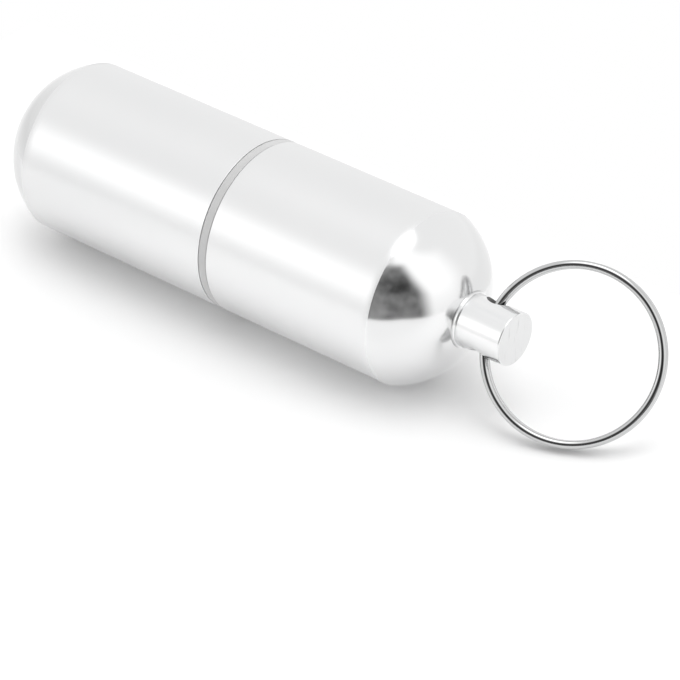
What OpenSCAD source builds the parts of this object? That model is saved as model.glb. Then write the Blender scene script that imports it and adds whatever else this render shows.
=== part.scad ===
/* [Capsule] */
// Outer diameter of both barrels
barrel_d = 25; // [22:0.5:30]
// Container, from its shoulder at the seam to the edge of its dome
container_len = 32.75; // [27:0.25:60]
// Cap, from its rim at the seam to the edge of its dome
cap_len = 28; // [23:0.5:50]
// Height of each domed end above its barrel
dome_h = 8.4; // [6:0.1:10]
// Visible gap between the shoulder and the cap's rim
seam_gap = 1.35; // [1.2:0.05:1.6]
// Bevel on the edge of the container's shoulder
shoulder_bevel = 0.25; // [0.2:0.05:0.5]
// Bevel on the outer edge of the cap's rim
rim_bevel = 0.12; // [0.05:0.01:0.3]

/* [Cavity] */
// Diameter of the space for pills, in both halves
bore_d = 17.2; // [14:0.1:18]
// Metal left between the bottom of the container's bore and its dome circle, along the axis
container_floor = 0.5; // [0:0.1:4]
// Metal left between the end of the cap's bore and the top of its dome
crown_wall = 6.6; // [6:0.1:9]
// Depth of the cone that the drill leaves at the end of the container's bore
drill_cone_h = 4.6; // [2:0.1:5]

/* [Thread] */
// Length of the neck, from the shoulder to its mouth
neck_len = 9.75; // [7:0.05:14]
// Outer diameter of the neck's thread
thread_d = 21; // [20.4:0.1:21.4]
// Depth of each thread ridge
thread_depth = 0.8; // [0.5:0.05:0.9]
// Distance that the cap advances in one turn
thread_lead = 1.5; // [1.25:0.05:2.5]
// Width of the flat on a ridge of the neck
neck_crest = 0.3; // [0.2:0.05:0.5]
// Width of the flat on a ridge of the cap
cap_crest = 0.2; // [0.15:0.05:0.4]
// Radial clearance between the two threads
thread_gap = 0.15; // [0.1:0.01:0.25]
// Plain length of the neck between the seal's land and its first ridge
neck_plain = 1.25; // [0.8:0.05:2]
// Plain length of the neck at its mouth, past its last ridge
neck_lead_in = 1; // [0.8:0.1:2]
// Plain length behind the cap's rim, before its first ridge
mouth_plain = 1.5; // [1.3:0.1:3]
// Space between the neck's mouth and the step inside the cap
neck_end_gap = 0.7; // [0.3:0.1:2]
// Bevel at the neck's mouth, outside
mouth_bevel = 0.4; // [0.2:0.05:0.6]

/* [Seal] */
// Diameter of the seal ring's section
seal_d = 1.6; // [1.4:0.05:1.7]
// Clearance between the seal and what it lies against
seal_gap = 0.05; // [0.03:0.01:0.1]
// Depth of the groove for the seal in the shoulder
seal_seat = 0.2; // [0.1:0.05:0.3]

/* [Post] */
// Diameter of the ring post
post_d = 7.65; // [6.5:0.05:9]
// Post, from the top of the dome to its flat end
post_len = 7; // [6:0.1:10]
// Diameter of the collar at the post's foot
collar_d = 8.1; // [7.9:0.1:10]
// Height of the collar above the dome at its edge
collar_h = 0.5; // [0.4:0.05:1]
// Bevel round the post's flat end
post_bevel = 0.35; // [0.1:0.05:0.6]
// Depth of the collar's flat seat below the dome at its edge
seat_sink = 0.08; // [0.05:0.01:0.3]
// Diameter of the cross hole
hole_d = 3.8; // [3.75:0.05:4.5]
// Centre of the cross hole above the top of the dome
hole_h = 2.7; // [2.4:0.05:3.5]
// Lean of the cross hole from upright
hole_lean = 37; // [0:1:60]
// Diameter of the shank that holds the post in the crown
shank_d = 4; // [3:0.1:5]
// Length of the shank below the collar
shank_len = 4; // [3:0.1:4.2]
// Radial clearance of the shank, and of the collar in its seat
seat_gap = 0.02; // [0.01:0.01:0.05]

/* [Key ring] */
// Outer diameter of the split ring
ring_d = 25; // [24:0.5:32]
// Diameter of its wire
wire_d = 1.2; // [1:0.05:1.2]
// Space between its two turns
turn_gap = 0.45; // [0.42:0.01:0.5]
// Arc over which the wire crosses from one turn to the other, inside the cross hole
cross_arc = 24; // [20:1:30]
// Swing of the ring about the cross hole, at rest
ring_swing = 20.6; // [0:0.1:25]
// Turn of the ring in its own plane at rest, as far as the hole lets it
ring_cant = 5.4; // [0:0.1:5.5]
// How far the ring is pushed back in the hole, from the hole's axis
ring_back = 0.1; // [0.08:0.01:0.3]

/* [Hidden] */

// Capsule: x = 0 is the end of the container's plain barrel, and the shoulder lies past its bevel
barrel_r = barrel_d / 2;
bore_r = bore_d / 2;
dome_r = (barrel_r * barrel_r + dome_h * dome_h) / (2 * dome_h);
shoulder_x = shoulder_bevel;
rim_x = shoulder_x + seam_gap;
crown_x = rim_x + cap_len + dome_h;
floor_x = shoulder_x - container_len + container_floor;
mouth_x = shoulder_x + neck_len;
step_x = mouth_x + neck_end_gap;
cap_bore_end = crown_x - crown_wall;
// Length by which joined solids run into each other
bond = 0.5;

// Threads: both follow one helix, half a lead apart
neck_major_r = thread_d / 2;
neck_root_r = neck_major_r - thread_depth;
cap_root_r = neck_major_r + thread_gap;
cap_minor_r = cap_root_r - thread_depth;
flank_slope = tan(30);
ridge_sink = 0.3;
ridge_steps = 36;
ridge_rise = 45;

// Seal: its section touches the land, the groove and the bevelled mouth of the cap
seal_r = seal_d / 2;
land_r = neck_major_r;
seal_centre_r = land_r + seal_gap + seal_r;
seal_x = shoulder_x - seal_seat + seal_gap + seal_r;
land_x = seal_x + seal_r + 0.1;
groove_r = seal_centre_r + sqrt((seal_r + seal_gap) ^ 2 - (seal_x - shoulder_x) ^ 2);
mouth_cut = (seal_r + seal_gap) * sqrt(2) + seal_x + seal_centre_r - rim_x - cap_root_r;

// Ring post: its collar stands on a flat cut where the dome is as wide as the collar
post_r = post_d / 2;
collar_r = collar_d / 2;
seat_x = crown_x - dome_h + dome_at(collar_r) - seat_sink;
collar_x = seat_x + seat_sink + collar_h;
shank_r = shank_d / 2;
shank_x = seat_x - shank_len;
shank_room = 0.2;
post_end_x = crown_x + post_len;
hole_x = crown_x + hole_h;

// Split ring: two flat turns and a crossing, which lies in the cross hole
wire_r = wire_d / 2;
turn_r = (ring_d - wire_d) / 2;
turn_offset = (wire_d + turn_gap) / 2;
turn_arc = 360 - cross_arc;
cross_steps = 12;
cross_reach = 0.04;
cross_r = wire_r - 0.01;
wire_sides = 24;

// Height of the dome above its edge, at a distance r from the axis
function dome_at(r) = sqrt(dome_r * dome_r - r * r) - dome_r + dome_h;

// A solid of revolution about X: its section is drawn with x along the axis and y outwards
module turned() {
    rotate([0, 90, 0])
        rotate_extrude($fn = 96)
            mirror([1, -1, 0])
                children();
}

// Section of a round bar from x1 to x2
module bar(x1, x2, r) {
    translate([x1, 0])
        square([x2 - x1, r]);
}

// Section of a barrel from x = 0 to its dome's edge at len, bevelled at x = 0
module domed_barrel(len, bevel) {
    top = len + dome_h;
    intersection() {
        polygon([[0, 0], [top + 1, 0], [top + 1, barrel_r], [bevel, barrel_r],
                 [0, barrel_r - bevel]]);
        union() {
            bar(-1, top - dome_r, (barrel_r + dome_r) / 2);
            translate([top - dome_r, 0])
                circle(r = dome_r, $fn = 144);
        }
    }
}

// One ring of a ridge's section, at a height between its buried foot and its full tip
function ridge_ring(angle, x, buried_r, height_r, tip_r, crest) =
    [for (p = [[-1, buried_r], [-1, height_r], [1, height_r], [1, buried_r]])
        let (half = crest / 2 + abs(tip_r - p[1]) * flank_slope)
        [x + p[0] * half, p[1] * cos(angle), p[1] * sin(angle)]];

// Faces of a tube of rings with n points each, closed by flat ends
function tube_faces(rings, n) = concat(
    [[for (j = [0 : n - 1]) j]],
    [for (i = [0 : rings - 2], j = [0 : n - 1], t = [0, 1])
        let (a = i * n + j, b = i * n + (j + 1) % n)
        t == 0 ? [a, a + n, b] : [b, a + n, b + n]],
    [[for (j = [n - 1 : -1 : 0]) (rings - 1) * n + j]]);

// The same faces seen from the other side
function turned_over(faces) = [for (f = faces) [for (k = [len(f) - 1 : -1 : 0]) f[k]]];

// A right-handed ridge about X from x1 to x2 that crosses angle 0 at x = phase_x, and rises
// out of its wall at both ends
module ridge(x1, x2, phase_x, wall_r, tip_r, crest) {
    outward = tip_r > wall_r;
    buried_r = wall_r + (outward ? -ridge_sink : ridge_sink);
    low_r = wall_r + (outward ? -ridge_sink : ridge_sink) / 3;
    from = 360 * (x1 - phase_x) / thread_lead;
    sweep = 360 * (x2 - x1) / thread_lead;
    rings = floor(sweep / 360 * ridge_steps) + 1;
    points = [for (i = [0 : rings - 1])
        let (turn = sweep * i / (rings - 1),
             rise = min(1, turn / ridge_rise, (sweep - turn) / ridge_rise))
        each ridge_ring(from + turn, x1 + thread_lead * turn / 360, buried_r,
                        low_r + (tip_r - low_r) * rise, tip_r, crest)];
    faces = tube_faces(rings, 4);
    polyhedron(points, outward ? turned_over(faces) : faces);
}

module container() {
    color([0.86, 0.87, 0.88]) {
        turned()
            difference() {
                union() {
                    translate([shoulder_x, 0])
                        mirror([1, 0, 0])
                            domed_barrel(container_len, shoulder_bevel);
                    bar(shoulder_x - bond, land_x, land_r);
                    polygon([[shoulder_x - bond, 0], [mouth_x, 0],
                             [mouth_x, neck_root_r - mouth_bevel],
                             [mouth_x - mouth_bevel, neck_root_r],
                             [shoulder_x - bond, neck_root_r]]);
                }
                // Blind bore with a drilled end
                polygon([[floor_x - drill_cone_h, 0], [floor_x - drill_cone_h, -1],
                         [mouth_x + 1, -1], [mouth_x + 1, bore_r], [floor_x, bore_r]]);
                // Groove for the seal in the shoulder
                translate([shoulder_x - seal_seat, land_r])
                    square([1, groove_r - land_r]);
            }
        ridge(land_x + neck_plain, mouth_x - neck_lead_in, 0, neck_root_r, neck_major_r,
              neck_crest);
    }
}

module seal_ring() {
    color([0.80, 0.80, 0.79])
        turned()
            translate([seal_x, seal_centre_r])
                circle(r = seal_r, $fn = 48);
}

module cap() {
    color([0.86, 0.87, 0.88]) {
        turned()
            difference() {
                translate([rim_x, 0])
                    domed_barrel(cap_len, rim_bevel);
                // Threaded mouth, bevelled where it meets the seal
                polygon([[rim_x - 1, -1], [step_x, -1], [step_x, cap_root_r],
                         [rim_x + mouth_cut, cap_root_r], [rim_x, cap_root_r + mouth_cut],
                         [rim_x - 1, cap_root_r + mouth_cut]]);
                translate([0, -1])
                    bar(step_x - bond, cap_bore_end, bore_r + 1);
                // Seat and blind hole for the ring post
                translate([0, -1])
                    bar(seat_x, crown_x + 1, collar_r + seat_gap + 1);
                translate([0, -1])
                    bar(shank_x - shank_room, crown_x, shank_r + seat_gap + 1);
            }
        ridge(rim_x + mouth_plain, step_x - mouth_plain, thread_lead / 2, cap_root_r,
              cap_minor_r, cap_crest);
    }
}

// Puts its children at the centre of the cross hole, with Z along the hole
module at_hole() {
    translate([hole_x, 0, 0])
        rotate([-hole_lean, 0, 0])
            children();
}

module ring_post() {
    color([0.90, 0.91, 0.92])
        difference() {
            turned()
                polygon([[shank_x, 0], [post_end_x, 0], [post_end_x, post_r - post_bevel],
                         [post_end_x - post_bevel, post_r], [collar_x, post_r],
                         [collar_x - (collar_r - post_r), collar_r], [seat_x, collar_r],
                         [seat_x, shank_r], [shank_x, shank_r]]);
            at_hole()
                cylinder(h = 3 * post_r, r = hole_d / 2, center = true, $fn = 48);
        }
}

// Offset of the wire from the ring's middle plane, at a share t of the crossing
function cross_offset(t) = turn_offset * cos(180 * min(1, max(0, t)));

// One ring of the crossing wire, square to its path
function wire_ring(t) =
    let (angle = turn_arc + cross_arc * t,
         slope = -turn_offset * 180 * sin(180 * min(1, max(0, t))) / (cross_arc * turn_r),
         lean = atan(slope))
    [for (k = [0 : wire_sides - 1])
        let (side = 360 * k / wire_sides,
             r = turn_r + cross_r * cos(side),
             up = cross_r * sin(side) * cos(lean),
             along = -cross_r * sin(side) * sin(lean))
        [r * cos(angle) - along * sin(angle), r * sin(angle) + along * cos(angle),
         cross_offset(t) + up]];

// One flat turn of the wire, from angle 0 to the start of the crossing
module flat_turn(offset) {
    translate([0, 0, offset])
        rotate_extrude(angle = turn_arc, $fn = 144)
            translate([turn_r, 0])
                circle(r = wire_r, $fn = wire_sides);
}

// The whole ring flat in XY about its own centre
module flat_ring() {
    flat_turn(turn_offset);
    flat_turn(-turn_offset);
    polyhedron([for (i = [0 : cross_steps]) each wire_ring((1 + 2 * cross_reach) * i / cross_steps
                                                          - cross_reach)],
               turned_over(tube_faces(cross_steps + 1, wire_sides)));
}

module split_ring() {
    color([0.80, 0.81, 0.83])
        at_hole()
            rotate([0, 0, ring_swing])
                rotate([90, 0, 0])
                    rotate([0, 0, ring_cant])
                        translate([turn_r - ring_back, 0, 0])
                            rotate([0, 0, 180 + cross_arc / 2])
                                flat_ring();
}

// Least gap of the wire to itself, between points of its path at least half a turn apart
path_step = 6;
wire_path = [for (a = [0 : path_step : turn_arc + 360])
    [turn_r * cos(a), turn_r * sin(a), cross_offset((a - turn_arc) / cross_arc)]];
half_turn = 180 / path_step;
least_gap = min([for (i = [0 : len(wire_path) - half_turn - 1],
                      j = [i + half_turn : len(wire_path) - 1])
    norm(wire_path[i] - wire_path[j])]) - wire_d;
echo(least_gap_of_split_ring = least_gap);

container();
seal_ring();
cap();
ring_post();
split_ring();
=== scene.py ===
import math
import bpy
import numpy as np
from mathutils import Matrix, Vector


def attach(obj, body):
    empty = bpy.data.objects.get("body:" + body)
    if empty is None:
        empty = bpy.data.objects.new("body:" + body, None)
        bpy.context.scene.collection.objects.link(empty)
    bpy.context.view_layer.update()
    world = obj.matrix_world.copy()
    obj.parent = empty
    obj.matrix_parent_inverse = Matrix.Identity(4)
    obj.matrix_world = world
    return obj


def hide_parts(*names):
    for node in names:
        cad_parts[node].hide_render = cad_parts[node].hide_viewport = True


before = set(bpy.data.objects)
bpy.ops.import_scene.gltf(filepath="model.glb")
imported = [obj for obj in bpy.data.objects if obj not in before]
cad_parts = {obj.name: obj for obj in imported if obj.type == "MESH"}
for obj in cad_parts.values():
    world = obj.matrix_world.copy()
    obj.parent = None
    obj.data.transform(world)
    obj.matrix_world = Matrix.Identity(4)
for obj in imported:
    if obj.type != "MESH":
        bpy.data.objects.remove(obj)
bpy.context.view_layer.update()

MM = 0.001

# capsule, in millimetres: x runs along it, r out from its axis
BARREL_R = 12.5
DOME_H = 8.4
DOME_R = (BARREL_R ** 2 + DOME_H ** 2) / (2 * DOME_H)
CONTAINER_EDGE_X = -32.5
CAP_EDGE_X = 29.6
CROWN_X = CAP_EDGE_X + DOME_H
SHOULDER_X = 0.25
RIM_X = 1.6
RIM_BEVEL = 0.12
BORE_R = 8.6
FLOOR_X = -32.0
DRILL_X = -36.6
MOUTH_X = 10.0
MOUTH_BEVEL = 0.4
MOUTH_EDGE = 0.12
STEP_X = 10.7
STEP_EDGE = 0.1
CAP_BORE_END = 31.4
BORE_CORNER = 0.3
FINE_EDGE = 0.03
EDGE = 0.05

# thread
LEAD = 1.5
THREAD_DEPTH = 0.8
THREAD_ROOM = 0.15
FLANK = math.radians(30)
RUN_IN = 45
NECK_MAJOR_R = 10.5
NECK_ROOT_R = NECK_MAJOR_R - THREAD_DEPTH
CAP_ROOT_R = NECK_MAJOR_R + THREAD_ROOM
CAP_MINOR_R = CAP_ROOT_R - THREAD_DEPTH
NECK_THREAD = (3.05, 9.0)
NECK_CREST = 0.3
CAP_THREAD = (3.1, 9.2)
CAP_CREST = 0.2

# seal and its groove
SEAL_R = 0.8
SEAL_GAP = 0.05
GROOVE_DEPTH = 0.2
GROOVE_X = SHOULDER_X - GROOVE_DEPTH
LAND_R = NECK_MAJOR_R
LAND_EDGE = 0.06
SEAL_CENTRE_R = LAND_R + SEAL_GAP + SEAL_R
SEAL_X = GROOVE_X + SEAL_GAP + SEAL_R
LAND_ROOM = 0.1
LAND_X = SEAL_X + SEAL_R + LAND_ROOM
GROOVE_R = SEAL_CENTRE_R + math.sqrt((SEAL_R + SEAL_GAP) ** 2 - (SEAL_X - SHOULDER_X) ** 2)
MOUTH_CUT = (SEAL_R + SEAL_GAP) * math.sqrt(2) + SEAL_X + SEAL_CENTRE_R - RIM_X - CAP_ROOT_R
SQUEEZED_ROOM = 0.01
SQUEEZED_LIFT = 0.03
SQUEEZED_X = (RIM_X - SHOULDER_X) / 2 - SQUEEZED_ROOM
SQUEEZED_R = 0.955
SQUEEZED_CENTRE_X = (SHOULDER_X + RIM_X) / 2
SQUEEZED_CENTRE_R = LAND_R + SQUEEZED_LIFT + SQUEEZED_R
FULLNESS = 14

# ring post
POST_R = 3.825
COLLAR_R = 4.05
COLLAR_LEN = 0.58
COLLAR_EDGE = 0.2
SHANK_R = 2.0
SHANK_LEN = 4
SHANK_EDGE = 0.2
SEAT_ROOM = 0.02
SEAT_R = COLLAR_R + SEAT_ROOM
SEAT_DEPTH = 0.08
SEAT_X = CROWN_X - DOME_R + math.sqrt(DOME_R ** 2 - COLLAR_R ** 2) - SEAT_DEPTH
SEAT_EDGE = 0.12
SHANK_X = SEAT_X - SHANK_LEN
SHANK_HOLE_ROOM = 0.2
SHANK_HOLE_X = SHANK_X - SHANK_HOLE_ROOM
COLLAR_X = SEAT_X + COLLAR_LEN
POST_END_X = 45.0
POST_EDGE = 0.35
POST_END_CORNER = POST_EDGE - EDGE
HOLE_X = 40.7
HOLE_R = 1.9
HOLE_LEAN = math.radians(37)
HOLE_LIP = 0.06

# split ring
WIRE_R = 0.6
WIRE_END_BEVEL = 0.12
TURN_R = 11.9
TURN_OFFSET = 0.61
CROSS_ARC = math.radians(24)
SWING = math.radians(20.6)
CANT = math.radians(5.4)
RING_BACK = 0.1

# directions: along the capsule, along the cross hole, across both, and the ring's own three
ALONG = np.array([1.0, 0, 0])
HOLE = np.array([0, math.sin(HOLE_LEAN), math.cos(HOLE_LEAN)])
ACROSS = np.array([0, math.cos(HOLE_LEAN), -math.sin(HOLE_LEAN)])
RING_N = math.sin(SWING) * ALONG - math.cos(SWING) * ACROSS
RING_U = (math.cos(CANT) * (math.cos(SWING) * ALONG + math.sin(SWING) * ACROSS)
          + math.sin(CANT) * HOLE)
RING_V = np.cross(RING_N, RING_U)
RING_C = HOLE_X * ALONG + (TURN_R - RING_BACK) * RING_U

# how finely the meshes are cut
AROUND = 192
SEAL_ACROSS = 96
DOME_STEPS = 56
LONGEST = 1.2
THREAD_STEP = 0.08
WALL_TOLERANCE = 0.02
SAME_POINT = 1e-4
SHARP_ANGLE = math.radians(30)

# which finish a stretch of a piece has: its place in the piece's list of materials
BARREL, DOME, INSIDE = 0, 1, 2
SIDE, HOLE_WALL, END_FACE = 0, 1, 2


# meshes: each maker returns points in millimetres, faces and the finish of each face
def mesh_piece(name, made, body, node, materials, uv=None):
    """A made mesh becomes a piece at the origin, smooth but for its sharp edges."""
    points, faces, finishes = made
    mesh = bpy.data.meshes.new(name)
    mesh.from_pydata((np.asarray(points) * MM).tolist(), [], faces)
    mesh.polygons.foreach_set("use_smooth", np.ones(len(faces), bool))
    mesh.polygons.foreach_set("material_index", np.asarray(finishes, np.int32))
    if uv is not None:
        layer = mesh.uv_layers.new(name="along")
        index = np.zeros(len(mesh.loops), np.int32)
        mesh.loops.foreach_get("vertex_index", index)
        layer.data.foreach_set("uv", np.asarray(uv, np.float32)[index].ravel())
    for material in materials:
        mesh.materials.append(material)
    mesh.validate()
    mesh.set_sharp_from_angle(angle=SHARP_ANGLE)
    piece = bpy.data.objects.new(name, mesh)
    bpy.context.scene.collection.objects.link(piece)
    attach(piece, body)
    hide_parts(node)


def rounded(corners, steps=5):
    """A profile of (x, r, radius, finish) corners with each corner of radius > 0 made an arc.

    The arc is tangent to both sides: it starts and ends radius / tan(half angle) from the
    corner. Returns points and the finish of the stretch after each point."""
    out, finishes = [], []
    for i, (x, r, radius, finish) in enumerate(corners):
        here = np.array([x, r], float)
        if radius <= 0 or i in (0, len(corners) - 1):
            out.append(here)
            finishes.append(finish)
            continue
        before = np.array(corners[i - 1][:2], float) - here
        after = np.array(corners[i + 1][:2], float) - here
        a, b = before / np.linalg.norm(before), after / np.linalg.norm(after)
        half = math.acos(max(-1.0, min(1.0, float(a @ b)))) / 2
        reach = min(radius / math.tan(half), 0.45 * np.linalg.norm(before),
                    0.45 * np.linalg.norm(after))
        size = reach * math.tan(half)
        middle = here + (a + b) / np.linalg.norm(a + b) * size / math.sin(half)
        start, end = here + a * reach - middle, here + b * reach - middle
        sweep = math.pi - 2 * half
        for k in range(steps + 1):
            t = k / steps
            arc = (math.sin((1 - t) * sweep) * start + math.sin(t * sweep) * end) / math.sin(sweep)
            out.append(middle + arc)
            finishes.append(corners[i - 1][3] if t < 0.5 else finish)
    return np.array(out), np.array(finishes)


def split(points, finishes, parts_of):
    """Cuts the stretch after each profile point into parts_of(start, end) equal parts."""
    out, kept = [], []
    for a, b, finish in zip(points[:-1], points[1:], finishes):
        n = parts_of(a, b)
        for k in range(n):
            out.append(a + (b - a) * k / n)
            kept.append(finish)
    out.append(points[-1])
    return np.array(out), np.array(kept)


def even_parts(a, b):
    """As few parts as keep each within LONGEST."""
    return max(1, math.ceil(np.linalg.norm(b - a) / LONGEST))


def thread_parts(x1, x2, root_r):
    """Fine parts on the wall at root_r about a thread from x1 to x2, and whole ones elsewhere."""
    def parts_of(a, b):
        on_wall = abs(a[1] - root_r) < WALL_TOLERANCE and abs(b[1] - root_r) < WALL_TOLERANCE
        inside = max(a[0], b[0]) > x1 - LEAD and min(a[0], b[0]) < x2 + LEAD
        return max(1, math.ceil(abs(b[0] - a[0]) / THREAD_STEP)) if on_wall and inside else 1
    return parts_of


def thread(x1, x2, phase_x, root_r, tip_r, crest):
    """Radius of a threaded wall: root_r plus a trapezium that repeats each lead along the helix
    x = phase_x + lead * a / (2 pi), and rises from the root over RUN_IN degrees at both ends."""
    depth = abs(tip_r - root_r)

    def radius_at(x, r, a):
        on_wall = (np.abs(r - root_r) < WALL_TOLERANCE) & (x > x1 - LEAD) & (x < x2 + LEAD)
        turn = (x - phase_x) / LEAD - a / (2 * math.pi)
        off = (turn - np.round(turn)) * LEAD
        centre = x - off
        rise = np.clip(np.minimum(centre - x1, x2 - centre) * 360 / LEAD / RUN_IN, 0, 1)
        height = np.clip(depth - np.maximum(np.abs(off) - crest / 2, 0) / math.tan(FLANK),
                         0, None)
        height = np.minimum(height, depth * rise)
        return np.where(on_wall, r + np.sign(tip_r - root_r) * height, r)
    return radius_at


def revolve(profile, radius_at):
    """Turns an (x, r) profile about X: (x, r cos a, r sin a), with a pole at both ends.

    radius_at(x, r, a) may change the radius of a point, as a thread does."""
    inner = profile[1:-1]
    x = np.repeat(inner[:, :1], AROUND, 1)
    r = np.repeat(inner[:, 1:], AROUND, 1)
    a = np.repeat((np.arange(AROUND) * 2 * math.pi / AROUND)[None, :], len(inner), 0)
    r = radius_at(x, r, a)
    grid = np.stack([x, r * np.cos(a), r * np.sin(a)], -1).reshape(-1, 3)
    points = np.concatenate([grid, [[profile[0][0], 0, 0], [profile[-1][0], 0, 0]]])
    first, last = len(grid), len(grid) + 1
    j = np.arange(AROUND)
    k = (j + 1) % AROUND
    faces = np.stack([np.full(AROUND, first), k, j], 1).tolist()
    for row in range(len(inner) - 1):
        a0, b0 = row * AROUND, (row + 1) * AROUND
        faces += np.stack([a0 + j, a0 + k, b0 + k, b0 + j], 1).tolist()
    end = (len(inner) - 1) * AROUND
    faces += np.stack([np.full(AROUND, last), end + j, end + k], 1).tolist()
    return points, faces


def shell(corners, span, phase_x, root_r, tip_r, crest):
    """A half of the capsule: its rounded profile turned about X, with a thread on one wall."""
    profile, finishes = split(*rounded(corners), even_parts)
    profile, finishes = split(profile, finishes, thread_parts(*span, root_r))
    points, faces = revolve(profile, thread(*span, phase_x, root_r, tip_r, crest))
    return points, faces, np.repeat(finishes, AROUND)


def dome_arc(edge_x, outward):
    """Points of a spherical dome from its edge at radius BARREL_R to its top at radius 0."""
    centre = edge_x + outward * (DOME_H - DOME_R)
    start = math.asin(BARREL_R / DOME_R)
    return [(centre + outward * DOME_R * math.cos(a), DOME_R * math.sin(a), 0, DOME)
            for a in np.linspace(start, 0, DOME_STEPS)]


def container_profile():
    """From the dome's top along the barrel, down the seam and out over the neck, and back
    through the mouth and the bore to the drill point."""
    dome = dome_arc(CONTAINER_EDGE_X, -1)[::-1]
    dome[-1] = (*dome[-1][:3], BARREL)
    return dome + [
        (0, BARREL_R, 0, BARREL),
        (SHOULDER_X, BARREL_R, FINE_EDGE, BARREL),
        (SHOULDER_X, GROOVE_R, FINE_EDGE, INSIDE),
        (GROOVE_X, GROOVE_R, EDGE, INSIDE),
        (GROOVE_X, LAND_R, EDGE, INSIDE),
        (LAND_X, LAND_R, LAND_EDGE, INSIDE),
        (LAND_X, NECK_ROOT_R, EDGE, INSIDE),
        (MOUTH_X - MOUTH_BEVEL, NECK_ROOT_R, EDGE, INSIDE),
        (MOUTH_X, NECK_ROOT_R - MOUTH_BEVEL, EDGE, INSIDE),
        (MOUTH_X, BORE_R, MOUTH_EDGE, INSIDE),
        (FLOOR_X, BORE_R, BORE_CORNER, INSIDE),
        (DRILL_X, 0, 0, INSIDE)]


def cap_profile():
    """From the bore's end back to the rim, along the barrel and over the dome to the post's
    seat, and in through the hole for its shank."""
    dome = [point for point in dome_arc(CAP_EDGE_X, 1) if point[1] > SEAT_R + SEAT_EDGE]
    return [
        (CAP_BORE_END, 0, 0, INSIDE),
        (CAP_BORE_END, BORE_R, BORE_CORNER, INSIDE),
        (STEP_X, BORE_R, STEP_EDGE, INSIDE),
        (STEP_X, CAP_ROOT_R, EDGE, INSIDE),
        (RIM_X + MOUTH_CUT, CAP_ROOT_R, EDGE, INSIDE),
        (RIM_X, CAP_ROOT_R + MOUTH_CUT, EDGE, INSIDE),
        (RIM_X, BARREL_R - RIM_BEVEL, EDGE, BARREL),
        (RIM_X + RIM_BEVEL, BARREL_R, EDGE, BARREL),
        *dome,
        (SEAT_X + SEAT_DEPTH, SEAT_R, FINE_EDGE, DOME),
        (SEAT_X, SEAT_R, 0, DOME),
        (SEAT_X, SHANK_R + SEAT_ROOM, 0, DOME),
        (SHANK_HOLE_X, SHANK_R + SEAT_ROOM, 0, DOME),
        (SHANK_HOLE_X, 0, 0, DOME)]


def squeezed_seal():
    """A ring (x + u, (R + w) cos a, (R + w) sin a) of squeezed rubber: its section is
    |u / SQUEEZED_X| ^ FULLNESS + |w / SQUEEZED_R| ^ FULLNESS = 1."""
    a = np.arange(AROUND)[:, None] * 2 * math.pi / AROUND
    b = np.arange(SEAL_ACROSS)[None, :] * 2 * math.pi / SEAL_ACROSS
    fuller = 1 / (np.abs(np.sin(b)) ** FULLNESS
                  + np.abs(np.cos(b)) ** FULLNESS) ** (1 / FULLNESS)
    r = SQUEEZED_CENTRE_R + SQUEEZED_R * fuller * np.cos(b)
    points = np.stack([SQUEEZED_CENTRE_X + SQUEEZED_X * fuller * np.sin(b) + 0 * a,
                       r * np.cos(a), r * np.sin(a)], -1)
    i, j = np.meshgrid(np.arange(AROUND), np.arange(SEAL_ACROSS), indexing="ij")
    i2, j2 = (i + 1) % AROUND, (j + 1) % SEAL_ACROSS
    faces = np.stack([i * SEAL_ACROSS + j, i2 * SEAL_ACROSS + j,
                      i2 * SEAL_ACROSS + j2, i * SEAL_ACROSS + j2], -1).reshape(-1, 4)
    return points.reshape(-1, 3), faces.tolist(), np.zeros(len(faces))


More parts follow.
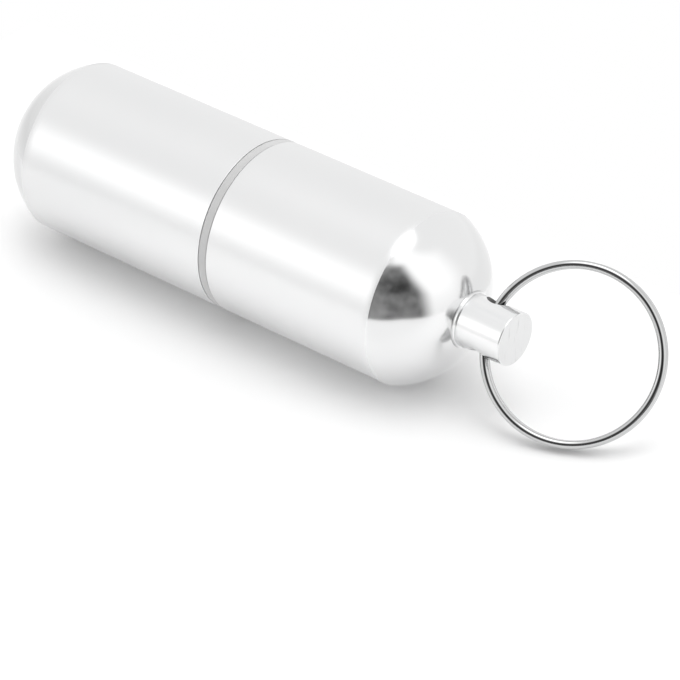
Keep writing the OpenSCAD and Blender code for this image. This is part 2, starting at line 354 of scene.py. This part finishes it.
def post_side(side=48, rows=26, lip_rows=4, wall_rows=8, crowding=1.3):
    """The post's side as two patches, and the wall of the hole between them.

    Each patch is half of the side as a polar grid: it runs from the mouth of the cross hole,
    the curve (HOLE_R cos p, HOLE_R sin p) raised on the cylinder, out to the edge of that half,
    flat in the unrolled plane. A quarter-round lip leads into the wall, which is straight."""
    x1, x2 = COLLAR_X, POST_END_X - POST_EDGE
    half = AROUND // 2
    edge = ([(x1, math.pi / 2 - math.pi * k / half) for k in range(half)]
            + [(x1 + (x2 - x1) * k / side, -math.pi / 2) for k in range(side)]
            + [(x2, -math.pi / 2 + math.pi * k / half) for k in range(half)]
            + [(x2 - (x2 - x1) * k / side, math.pi / 2) for k in range(side)])
    edge = np.array(edge)
    n = len(edge)
    p = np.arctan2(edge[:, 1] * POST_R, edge[:, 0] - HOLE_X)
    j = np.arange(n)
    k = (j + 1) % n

    def on_post(x, phi, r, sign):
        return (x[:, None] * ALONG + (r * np.sin(phi))[:, None] * ACROSS * sign
                + (r * np.cos(phi))[:, None] * HOLE * sign)

    blocks, faces, start = [], [], 0
    for sign in (1, -1):
        grid = []
        for row in range(lip_rows):
            b = (row / lip_rows) * math.pi / 2
            reach = HOLE_R + HOLE_LIP * (1 - math.cos(b))
            phi = np.arcsin(reach * np.sin(p) / POST_R)
            sunk = np.full(n, POST_R) - HOLE_LIP * (1 - math.sin(b))
            grid.append(on_post(HOLE_X + reach * np.cos(p), phi, sunk, sign))
        reach = HOLE_R + HOLE_LIP
        mouth_x = HOLE_X + reach * np.cos(p)
        mouth_phi = np.arcsin(reach * np.sin(p) / POST_R)
        for row in range(rows + 1):
            t = (row / rows) ** crowding
            grid.append(on_post(mouth_x * (1 - t) + edge[:, 0] * t,
                                mouth_phi * (1 - t) + edge[:, 1] * t, np.full(n, POST_R), sign))
        for row in range(len(grid) - 1):
            a, b = start + row * n, start + (row + 1) * n
            faces += np.stack([a + j, b + j, b + k, a + k], 1).tolist()
        blocks.append(np.concatenate(grid))
        start += len(blocks[-1])
    # a rim point's partner is the point of the other rim on the same line of the wall
    top, bottom = blocks[0][:n], blocks[1][:n]
    partner = np.array([int(np.argmin(np.abs(bottom[:, 0] - point[0])
                                      + np.abs((bottom - point) @ ACROSS))) for point in top])
    wall = [top + (bottom[partner] - top) * t for t in np.linspace(0, 1, wall_rows + 1)[1:-1]]
    blocks.append(np.concatenate(wall))
    rings = [j, *(start + i * n + j for i in range(wall_rows - 1)), len(blocks[0]) + partner]
    for a, b in zip(rings[:-1], rings[1:]):
        faces += np.stack([a, a[k], b[k], b], 1).tolist()
    walls = wall_rows * n
    return np.concatenate(blocks), faces, [SIDE] * (len(faces) - walls) + [HOLE_WALL] * walls


def post_ends(face_rings=4):
    """The shank with the collar, and the far end: profiles turned about X on the angles of the
    post's side, each with its pole first or last."""
    near = [(SHANK_X, 0, 0, SIDE), (SHANK_X, SHANK_R, SHANK_EDGE, SIDE),
            (SEAT_X, SHANK_R, 0, SIDE), (SEAT_X, COLLAR_R, FINE_EDGE, SIDE),
            (COLLAR_X, COLLAR_R, COLLAR_EDGE, SIDE), (COLLAR_X, POST_R, 0, SIDE)]
    far = [(POST_END_X - POST_EDGE, POST_R, 0, SIDE),
           (POST_END_X, POST_R, POST_END_CORNER, SIDE), (POST_END_X, 0, 0, SIDE)]
    angle = math.pi / 2 - math.pi * np.arange(AROUND) / (AROUND // 2)
    ring = np.sin(angle)[:, None] * ACROSS + np.cos(angle)[:, None] * HOLE
    j = np.arange(AROUND)
    k = (j + 1) % AROUND
    blocks = []
    for corners, pole_first in ((near, True), (far, False)):
        profile, _ = rounded(corners, 6)
        if not pole_first:
            between = [profile[-2] + (profile[-1] - profile[-2]) * t / face_rings
                       for t in range(1, face_rings)]
            profile = np.concatenate([profile[:-1], between, profile[-1:]])
        rows = profile[1:] if pole_first else profile[:-1]
        pole = profile[0] if pole_first else profile[-1]
        grid = np.concatenate([x * ALONG + r * ring for x, r in rows])
        tip, last = np.full(AROUND, len(grid)), (len(rows) - 1) * AROUND
        faces = []
        for i in range(len(rows) - 1):
            a, b = i * AROUND, (i + 1) * AROUND
            faces += np.stack([a + j, b + j, b + k, a + k], 1).tolist()
        fan = (tip, j, k) if pole_first else (tip, last + k, last + j)
        faces += np.stack(fan, 1).tolist()
        flat = 0 if pole_first else face_rings * AROUND
        blocks.append((np.concatenate([grid, [pole[0] * ALONG]]), faces,
                       [SIDE] * (len(faces) - flat) + [END_FACE] * flat))
    return blocks


def joined(blocks):
    """One mesh from several, with points that fall together made one."""
    points = np.concatenate([block[0] for block in blocks])
    faces, finishes, start = [], [], 0
    for own_points, own_faces, own_finishes in blocks:
        faces += [[v + start for v in face] for face in own_faces]
        finishes += own_finishes
        start += len(own_points)
    _, first, same = np.unique(np.round(points / SAME_POINT).astype(np.int64), axis=0,
                               return_index=True, return_inverse=True)
    same = same.ravel()
    return points[first], [[int(same[v]) for v in face] for face in faces], finishes


def ring_wire(around=32, steps=760, map_length=30):
    """Two turns of wire about the ring's centre, starting and ending at the cross hole.

    The path is R (cos a, sin a) with its height going from +offset to -offset as a half cosine
    over the crossing. Sections stand square to it and are drawn in a little at the cut ends.
    The UV map runs along the wire, and from 0 to 1 half way round its girth and back."""
    arc = 2 * math.pi - CROSS_ARC
    total = 2 * arc + CROSS_ARC
    s = np.linspace(0, total, steps)
    t = np.clip((s - arc) / CROSS_ARC, 0, 1)
    a = s + math.pi + CROSS_ARC / 2
    height = TURN_OFFSET * np.cos(math.pi * t)
    path = (RING_C + TURN_R * (np.cos(a)[:, None] * RING_U + np.sin(a)[:, None] * RING_V)
            + height[:, None] * RING_N)
    tangent = np.gradient(path, axis=0)
    tangent /= np.linalg.norm(tangent, axis=1, keepdims=True)
    outward = np.cos(a)[:, None] * RING_U + np.sin(a)[:, None] * RING_V
    side = np.cross(tangent, outward)
    side /= np.linalg.norm(side, axis=1, keepdims=True)
    outward = np.cross(side, tangent)
    from_end = np.minimum(s, total - s) * TURN_R
    radius = WIRE_R - np.clip(WIRE_END_BEVEL - from_end, 0, None)
    b = np.arange(around) * 2 * math.pi / around
    ring = (np.cos(b)[None, :, None] * outward[:, None] + np.sin(b)[None, :, None] * side[:, None])
    grid = path[:, None] + radius[:, None, None] * ring
    points = np.concatenate([grid.reshape(-1, 3), path[:1], path[-1:]])
    u = np.repeat(s / total * map_length, around)
    v = np.tile(np.minimum(b, 2 * math.pi - b) / math.pi, steps)
    uv = np.concatenate([np.stack([u, v], 1), [[0, 0], [map_length, 0]]])
    j = np.arange(around)
    k = (j + 1) % around
    faces = []
    for i in range(steps - 1):
        faces += np.stack([i * around + j, i * around + k, (i + 1) * around + k,
                           (i + 1) * around + j], 1).tolist()
    n = steps * around
    last = (steps - 1) * around
    faces += np.stack([np.full(around, n), k, j], 1).tolist()
    faces += np.stack([np.full(around, n + 1), last + j, last + k], 1).tolist()
    return (points, faces, np.zeros(len(faces))), uv


# shader maths
class Value:
    """What a node gives out, with + - * / on numbers as Math nodes."""

    def __init__(self, sheet, socket):
        self.sheet, self.socket = sheet, socket

    def __add__(self, other):
        return self.sheet.maths("ADD", self, other)

    def __radd__(self, other):
        return self.sheet.maths("ADD", other, self)

    def __sub__(self, other):
        return self.sheet.maths("SUBTRACT", self, other)

    def __rsub__(self, other):
        return self.sheet.maths("SUBTRACT", other, self)

    def __mul__(self, other):
        return self.sheet.maths("MULTIPLY", self, other)

    def __rmul__(self, other):
        return self.sheet.maths("MULTIPLY", other, self)

    def __truediv__(self, other):
        return self.sheet.maths("DIVIDE", self, other)

    def __rtruediv__(self, other):
        return self.sheet.maths("DIVIDE", other, self)


class Sheet:
    """The node tree of a material or a world, in which nodes are laid by type, settings and
    inputs."""

    def __init__(self, owner):
        owner.use_nodes = True
        self.tree = owner.node_tree
        self.tree.nodes.clear()

    def node(self, kind, settings=None, inputs=None):
        made = self.tree.nodes.new(kind)
        for setting, value in (settings or {}).items():
            setattr(made, setting, value)
        for name, value in (inputs or {}).items():
            socket = made.inputs[name]
            if isinstance(value, Value):
                self.tree.links.new(value.socket, socket)
            elif isinstance(value, bpy.types.NodeSocket):
                self.tree.links.new(value, socket)
            else:
                socket.default_value = value
        return made

    def out(self, kind, settings=None, inputs=None, socket=0):
        return Value(self, self.node(kind, settings, inputs).outputs[socket])

    def maths(self, operation, *args):
        return self.out("ShaderNodeMath", {"operation": operation}, dict(enumerate(args)))

    def smooth(self, value, low, high):
        """0 to 1 as value passes from low to high, with flat ends."""
        return self.out("ShaderNodeMapRange", {"interpolation_type": "SMOOTHSTEP"},
                        {"Value": value, "From Min": low, "From Max": high})

    def mix(self, factor, a, b):
        """The colour a where factor is 0, and b where it is 1."""
        made = self.node("ShaderNodeMix", {"data_type": "RGBA"}, {"Factor": factor})
        for socket, value in ((made.inputs[6], a), (made.inputs[7], b)):
            if isinstance(value, Value):
                self.tree.links.new(value.socket, socket)
            else:
                socket.default_value = (*value, 1.0)
        return Value(self, made.outputs[2])

    def axes(self, coordinates):
        """The x, y and z of coordinates."""
        parts = self.node("ShaderNodeSeparateXYZ", None, {0: coordinates})
        return [Value(self, output) for output in parts.outputs]

    def noise(self, coordinates, scale, detail=2.0, roughness=0.5):
        return self.out("ShaderNodeTexNoise", None,
                        {"Vector": coordinates, "Scale": scale, "Detail": detail,
                         "Roughness": roughness})

    def stretched(self, coordinates, scale):
        """Coordinates with each axis multiplied, so that a pattern on them is drawn out."""
        return self.out("ShaderNodeMapping", None, {"Vector": coordinates, "Scale": scale})

    def bump(self, height, strength, distance):
        return self.out("ShaderNodeBump", None,
                        {"Height": height, "Strength": strength, "Distance": distance})


def grey(level):
    return (level, level, level)


def finish_of(name, metallic, make):
    """A material whose make(sheet, object coordinates) gives the sockets that vary."""
    material = bpy.data.materials.new(name)
    sheet = Sheet(material)
    place = sheet.out("ShaderNodeTexCoord", socket="Object")
    shader = sheet.node("ShaderNodeBsdfPrincipled", None,
                        {"Metallic": metallic, **make(sheet, place)})
    sheet.node("ShaderNodeOutputMaterial", None, {"Surface": shader.outputs[0]})
    return material


def satin(sheet, place):
    """Fine turned lines round the barrel, under a blasted satin skin, and faint cloudiness."""
    lines = sheet.noise(sheet.stretched(place, (9000, 60, 60)), 1, 3, 0.6)
    grain = sheet.noise(place, 5200, 2, 0.6)
    clouds = sheet.noise(place, 60, 3, 0.5)
    return {"Base Color": sheet.mix(clouds, (0.72, 0.724, 0.728), grey(0.746)),
            "Roughness": 0.29 + (clouds - 0.5) * 0.05 + (lines - 0.5) * 0.04,
            "Normal": sheet.bump(lines * 0.4 + grain * 0.6, 0.12, 0.00002)}


def polished(sheet, place):
    """Buffed metal: very fine marks round the axis, and a haze that varies a little."""
    clouds = sheet.noise(place, 90, 3, 0.6)
    marks = sheet.noise(sheet.stretched(place, (7000, 220, 220)), 1, 2, 0.5)
    return {"Base Color": sheet.mix(clouds, (0.725, 0.729, 0.733), grey(0.75)),
            "Roughness": 0.135 + (clouds - 0.5) * 0.04 + (marks - 0.5) * 0.02,
            "Normal": sheet.bump(marks, 0.03, 0.00001)}


def turned(sheet, place):
    """Bare machined metal with the tool's feed lines round the axis."""
    feed = sheet.out("ShaderNodeTexWave", {"wave_type": "BANDS", "bands_direction": "X",
                                           "wave_profile": "SAW"},
                     {"Vector": place, "Scale": 1900, "Distortion": 1.2, "Detail": 2,
                      "Detail Scale": 2})
    clouds = sheet.noise(place, 140, 3, 0.6)
    return {"Base Color": sheet.mix(clouds, (0.68, 0.685, 0.69), grey(0.75)),
            "Roughness": 0.26 + feed * 0.08 + (clouds - 0.5) * 0.08,
            "Normal": sheet.bump(feed, 0.25, 0.00002)}


def buffed(sheet, place):
    """The post's polish: streaks along its length where the wheel has flattened it a little."""
    streaks = sheet.noise(sheet.stretched(place, (25, 520, 520)), 1, 3, 0.55)
    marks = sheet.noise(sheet.stretched(place, (600, 6000, 6000)), 1, 2, 0.5)
    return {"Base Color": sheet.mix(sheet.smooth(streaks, 0.35, 0.65), (0.735, 0.74, 0.745),
                                    grey(0.80)),
            "Roughness": 0.18 + (streaks - 0.5) * 0.12,
            "Normal": sheet.bump(streaks * 0.8 + marks * 0.2, 0.5, 0.00006)}


def faced(sheet, place):
    """The post's flat end: faint rings left by facing it, round its centre, and fine scuffs."""
    y, z = sheet.axes(place)[1:]
    rings = sheet.maths("SINE", sheet.maths("SQRT", y * y + z * z) * 42000)
    clouds = sheet.noise(place, 500, 3, 0.6)
    scuffs = sheet.noise(sheet.stretched(place, (1, 2400, 330)), 1, 3, 0.6)
    metal = sheet.mix(clouds, (0.655, 0.659, 0.663), grey(0.705))
    return {"Base Color": sheet.mix(sheet.smooth(scuffs, 0.58, 0.72), metal, grey(0.57)),
            "Roughness": 0.2 + rings * 0.02 + (clouds - 0.5) * 0.1,
            "Normal": sheet.bump(rings, 0.04, 0.00001)}


def drilled(sheet, place):
    """The wall of the cross hole: painted dark grey for the shade inside the hole, and going to
    the metal's own tone toward where the ring leaves the hole below."""
    grain = sheet.noise(place, 2500, 3, 0.6)
    y, z = sheet.axes(place)[1:]
    along = y * (math.sin(HOLE_LEAN) / MM) + z * (math.cos(HOLE_LEAN) / MM)
    # painted shade: the wall's dark grey is the shade inside the hole, and it gives way to the
    # metal's own tone toward the lower mouth
    painted_hole_shade = sheet.mix(grain, grey(0.14), grey(0.26))
    return {"Base Color": sheet.mix(sheet.smooth(along, -1.2, -3.2), painted_hole_shade, grey(0.72)),
            "Roughness": 0.42 + (grain - 0.5) * 0.2,
            "Normal": sheet.bump(grain, 0.3, 0.00003)}


def rubber(sheet, place):
    """Pale silicone: soft mottling and a fine skin."""
    clouds = sheet.noise(place, 400, 3, 0.6)
    grain = sheet.noise(place, 6000, 2, 0.5)
    return {"Base Color": sheet.mix(clouds, grey(0.53), grey(0.60)),
            "Roughness": 0.5 + (grain - 0.5) * 0.15,
            "Normal": sheet.bump(grain, 0.15, 0.00002)}


def wire_steel(sheet, place):
    """Bright drawn wire: lines along the wire on its own length-and-girth map, and a dark stripe
    along the two faces of the ring, half way round the girth, which is a painted reflection of
    the dark opening in front of the ring."""
    along = sheet.out("ShaderNodeUVMap", {"uv_map": "along"})
    drawn = sheet.noise(sheet.stretched(along, (3, 260, 1)), 1, 2, 0.5)
    clouds = sheet.noise(place, 250, 3, 0.6)
    girth = sheet.axes(along)[1]
    from_face = sheet.maths("ABSOLUTE", girth - 0.5)
    metal = sheet.mix(clouds, (0.49, 0.494, 0.498), grey(0.54))
    # painted reflection: the dark grey stripe along the ring's two faces stands in for the dark
    # opening reflected there
    return {"Base Color": sheet.mix(sheet.smooth(from_face, 0.1, 0.04), metal, grey(0.22)),
            "Roughness": 0.035 + (drawn - 0.5) * 0.02 + (clouds - 0.5) * 0.02,
            "Normal": sheet.bump(drawn, 0.03, 0.00001)}


SATIN = finish_of("satin_aluminium", 1.0, satin)
POLISHED = finish_of("polished_aluminium", 1.0, polished)
TURNED = finish_of("turned_aluminium", 1.0, turned)
BUFFED = finish_of("buffed_post", 1.0, buffed)
FACED = finish_of("faced_post_end", 1.0, faced)
DRILLED = finish_of("drilled_hole", 1.0, drilled)
RUBBER = finish_of("pale_silicone", 0.0, rubber)
STEEL = finish_of("bright_wire", 1.0, wire_steel)

# the five pieces
mesh_piece("capsule_container",
           shell(container_profile(), NECK_THREAD, 0, NECK_ROOT_R, NECK_MAJOR_R, NECK_CREST),
           "container", "container", [SATIN, POLISHED, TURNED])
mesh_piece("capsule_cap",
           shell(cap_profile(), CAP_THREAD, LEAD / 2, CAP_ROOT_R, CAP_MINOR_R, CAP_CREST),
           "cap", "cap", [SATIN, POLISHED, TURNED])
mesh_piece("seam_seal", squeezed_seal(), "seal", "seal_ring", [RUBBER])
mesh_piece("ring_post_polished", joined([post_side(), *post_ends()]),
           "cap", "ring_post", [BUFFED, DRILLED, FACED])
wire_mesh, wire_uv = ring_wire()
mesh_piece("split_ring_wire", wire_mesh, "key_ring", "split_ring", [STEEL], wire_uv)


# stage
def stage_panel(name, corners, material):
    """A flat four-cornered panel of the studio, with corners in millimetres."""
    mesh = bpy.data.meshes.new(name)
    mesh.from_pydata([Vector(corner) * MM for corner in corners], [], [(0, 1, 2, 3)])
    mesh.materials.append(material)
    panel = bpy.data.objects.new(name, mesh)
    bpy.context.scene.collection.objects.link(panel)
    return mesh


# how much brighter the lights are than a plain level, so that the table clips to white
LIGHT_LEVEL = 1.2
TABLE_Z = -BARREL_R
TABLE_LEFT = -78
TABLE_RIGHT = 150
TABLE_FRONT = -115
TABLE_REAR = 38

# the table: white paper, with a painted glow that only metal sees, brighter near the capsule
# and before it, and painted shade at the left end that only metal sees
paper = bpy.data.materials.new("white_paper")
sheet = Sheet(paper)
light_path = sheet.node("ShaderNodeLightPath")
to_camera = Value(sheet, light_path.outputs["Is Camera Ray"])
to_metal = Value(sheet, light_path.outputs["Is Glossy Ray"])
place = sheet.out("ShaderNodeTexCoord", socket="Object")
table_x, table_y = (axis / MM for axis in sheet.axes(place)[:2])
near = sheet.smooth(sheet.maths("ABSOLUTE", table_y), 40, 8) * sheet.smooth(table_x, -65, 15)
front = (sheet.smooth(table_y, -12, -28) * sheet.smooth(table_x, -45, -15)
         * sheet.smooth(table_x, 42, 22))
sheen = 0.055 + near * 0.12 + front * 0.1
# painted shade: the paper's colour is made darker at the left end only where metal sees it in
# reflection
shade_in_reflection_left = (1 - to_metal * sheet.smooth(table_x, -38, -50) * sheet.smooth(table_y, -26, -8)
            * 0.15)
diffuse = sheet.node("ShaderNodeBsdfDiffuse", None,
                     {"Color": sheet.mix(shade_in_reflection_left, grey(0), grey(0.95))})
glow = sheet.node("ShaderNodeEmission", None,
                  {"Color": sheet.mix(to_camera * 0.03 + to_metal * sheen, grey(0), grey(1)),
                   "Strength": 1})
both = sheet.node("ShaderNodeAddShader", None, {0: diffuse.outputs[0], 1: glow.outputs[0]})
sheet.node("ShaderNodeOutputMaterial", None, {"Surface": both.outputs[0]})
stage_panel("white_table", [(TABLE_LEFT, TABLE_FRONT, TABLE_Z),
                            (TABLE_RIGHT, TABLE_FRONT, TABLE_Z),
                            (TABLE_RIGHT, TABLE_REAR, TABLE_Z),
                            (TABLE_LEFT, TABLE_REAR, TABLE_Z)], paper)

# the room, by azimuth and elevation in degrees: pale walls, a bright card on the right, a bright
# ceiling, and a dark opening in front, in which some dim shapes show
world = bpy.data.worlds.new("studio")
bpy.context.scene.world = world
sheet = Sheet(world)
direction = sheet.out("ShaderNodeTexCoord", socket="Generated")
toward_x, toward_y, toward_z = sheet.axes(direction)
azimuth = sheet.maths("ARCTAN2", toward_y, toward_x) * (180 / math.pi)
elevation = sheet.maths("ARCSINE", toward_z) * (180 / math.pi)
card_edge = azimuth + sheet.maths("MAXIMUM", elevation - 45, 0.0) * 1.5
right_card = (sheet.smooth(azimuth, -60, -45) * (1 - sheet.smooth(card_edge, 15, 50))
              * (0.45 + sheet.smooth(elevation, 0, 22) * 0.55))
overhead = sheet.smooth(elevation, 66, 77)
low_rear = (sheet.smooth(sheet.maths("ABSOLUTE", azimuth), 135, 170)
            * (1 - sheet.smooth(elevation, 4, 30)) * sheet.smooth(elevation, -28, -4))
below = 1 - sheet.smooth(elevation, -6, 2)
room = 0.92 + right_card * 0.24 + overhead * 1.3 - low_rear * 0.13 - below * 0.05
right_edge = azimuth + sheet.maths("MAXIMUM", elevation - 18, 0.0) * 0.55
opening = ((1 - sheet.smooth(right_edge, -24, -4)) * sheet.smooth(azimuth, -99, -85)
           * (1 - sheet.smooth(elevation, 52, 60)))
shapes = sheet.noise(direction, 7, 3, 0.6)
dim = (sheet.smooth(elevation, 28, 18) * 0.11 + sheet.smooth(elevation, 34, 50) * 0.1
       + sheet.smooth(azimuth, -48, -75) * 0.1 + sheet.smooth(shapes, 0.35, 0.7) * 0.14)
dim = 0.01 + dim * sheet.smooth(azimuth, -90, -80)
studio_light = room * (1 - opening) + dim * opening
camera_ray = sheet.out("ShaderNodeLightPath", socket="Is Camera Ray")
background = sheet.node("ShaderNodeBackground", None,
                        {"Color": (*grey(1), 1),
                         "Strength": studio_light * (1 - camera_ray) * LIGHT_LEVEL + camera_ray})
sheet.node("ShaderNodeOutputWorld", None, {"Surface": background.outputs[0]})

# the left softbox, near enough to light the cap end of the capsule more, and clear to the camera
BOX_DISTANCE = 360
BOX_AZIMUTH = math.radians(-123)
BOX_ELEVATION = math.radians(21)
BOX_HALF_WIDTH = 182
BOX_HALF_HEIGHT = 140
BOX_RIM = 0.92
BOX_MIDDLE = 1.35
toward = Vector((math.cos(BOX_AZIMUTH) * math.cos(BOX_ELEVATION),
                 math.sin(BOX_AZIMUTH) * math.cos(BOX_ELEVATION), math.sin(BOX_ELEVATION)))
sideways = Vector((-toward.y, toward.x, 0)).normalized() * BOX_HALF_WIDTH
upward = toward.cross(sideways.normalized()) * BOX_HALF_HEIGHT
cloth = bpy.data.materials.new("softbox_cloth")
sheet = Sheet(cloth)
face_u, face_v = sheet.axes(sheet.out("ShaderNodeUVMap", {"uv_map": "face"}))[:2]
middle = ((1 - sheet.smooth(sheet.maths("ABSOLUTE", face_u), 0.15, 1.0))
          * (1 - sheet.smooth(sheet.maths("ABSOLUTE", face_v), 0.15, 1.0)))
lamp = sheet.node("ShaderNodeEmission", None,
                  {"Color": sheet.mix(middle, grey(BOX_RIM), grey(BOX_MIDDLE)),
                   "Strength": LIGHT_LEVEL})
clear = sheet.node("ShaderNodeBsdfTransparent")
unseen = sheet.node("ShaderNodeMixShader", None,
                    {0: sheet.out("ShaderNodeLightPath", socket="Is Camera Ray"),
                     1: lamp.outputs[0], 2: clear.outputs[0]})
sheet.node("ShaderNodeOutputMaterial", None, {"Surface": unseen.outputs[0]})
FACE_CORNERS = ((-1, -1), (1, -1), (1, 1), (-1, 1))
box_mesh = stage_panel("softbox", [toward * BOX_DISTANCE + sideways * a + upward * b
                                   for a, b in FACE_CORNERS], cloth)
face_map = box_mesh.uv_layers.new(name="face")
face_map.data.foreach_set("uv", np.array(FACE_CORNERS, np.float32).ravel())

# the camera: turned from the Y axis, tilted down, and aimed at a point near the seam
CAMERA_TURN = math.radians(39.45)
CAMERA_TILT = math.radians(34.01)
CAMERA_AIM_X = 8.09
CAMERA_RIGHT = 5.36
CAMERA_DOWN = 13.17
CAMERA_BACK = 539
CAMERA_SENSOR = 36
FOCAL_PIXELS = 3936
IMAGE_PIXELS = 680
right = Vector((math.cos(CAMERA_TURN), math.sin(CAMERA_TURN), 0))
level = Vector((-math.sin(CAMERA_TURN), math.cos(CAMERA_TURN), 0))
up = level * math.sin(CAMERA_TILT) + Vector((0, 0, math.cos(CAMERA_TILT)))
back = -level * math.cos(CAMERA_TILT) + Vector((0, 0, math.sin(CAMERA_TILT)))
eye = Vector((CAMERA_AIM_X, 0, 0)) + right * CAMERA_RIGHT - up * CAMERA_DOWN + back * CAMERA_BACK
lens = bpy.data.cameras.new("photo_camera")
lens.sensor_width = CAMERA_SENSOR
lens.lens = CAMERA_SENSOR * FOCAL_PIXELS / IMAGE_PIXELS
lens.clip_start = 0.01
camera = bpy.data.objects.new("photo_camera", lens)
bpy.context.scene.collection.objects.link(camera)
camera.matrix_world = Matrix((
    (right.x, up.x, back.x, eye.x * MM),
    (right.y, up.y, back.y, eye.y * MM),
    (right.z, up.z, back.z, eye.z * MM),
    (0, 0, 0, 1)))
bpy.context.scene.camera = camera
bpy.context.scene.view_settings.view_transform = "Standard"

bpy.context.view_layer.update()
